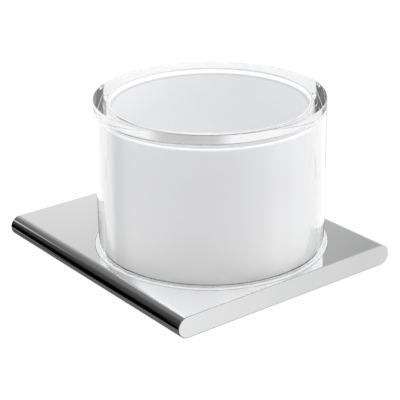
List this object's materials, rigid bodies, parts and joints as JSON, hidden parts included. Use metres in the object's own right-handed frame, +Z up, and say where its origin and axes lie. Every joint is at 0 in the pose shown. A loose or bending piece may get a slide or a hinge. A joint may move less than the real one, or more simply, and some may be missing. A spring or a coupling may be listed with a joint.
{
  "type": "cotton pad holder",
  "caption": "Wall-hung flat chrome plate with half-round sides carrying a satin dish for cotton pads under a thick clear lift-off glass cover.",
  "frame": {"origin": "on the wall, between the two wall screws, half way up the plate's thickness", "axes": "+Z up, +Y into the wall, +X to the right as seen from the room"},
  "size_m": [0.0974, 0.1097, 0.0644],
  "materials": {
    "chrome_plate": "mirror-polished chrome plating on brass",
    "bracket_steel": "milled zinc-plated steel",
    "screw_steel": "stainless steel grub screw",
    "soft_pad": "soft clear silicone",
    "satin_dish": "satin white translucent acrylic",
    "clear_glass": "thick clear polished crystal glass"
  },
  "bodies": {
    "bracket": {"wall_bracket": "bracket_steel"},
    "plate": {"holder_plate": "chrome_plate", "seat_pad": "soft_pad"},
    "grub_left": {"grub_screw_left": "screw_steel"},
    "grub_right": {"grub_screw_right": "screw_steel"},
    "dish": {"pad_dish": "satin_dish"},
    "cover": {"cover_glass": "clear_glass"}
  },
  "joints": [
    {"name": "plate_off_bracket", "type": "slide", "parent": "bracket", "child": "plate", "axis": [0, -1, 0], "range_m": [0, 0.02]},
    {"name": "grub_left_turn", "type": "hinge", "parent": "plate", "child": "grub_left", "pos_m": [-0.008, -0.0101, -0.004], "axis": [0, 0, -1], "range_deg": [0, 1080]},
    {"name": "grub_right_turn", "type": "hinge", "parent": "plate", "child": "grub_right", "pos_m": [0.008, -0.0101, -0.004], "axis": [0, 0, -1], "range_deg": [0, 1080]},
    {"name": "dish_lift", "type": "slide", "parent": "plate", "child": "dish", "axis": [0, 0, 1], "range_m": [0, 0.02]},
    {"name": "cover_lift", "type": "slide", "parent": "dish", "child": "cover", "axis": [0, 0, 1], "range_m": [0, 0.06]}
  ]
}
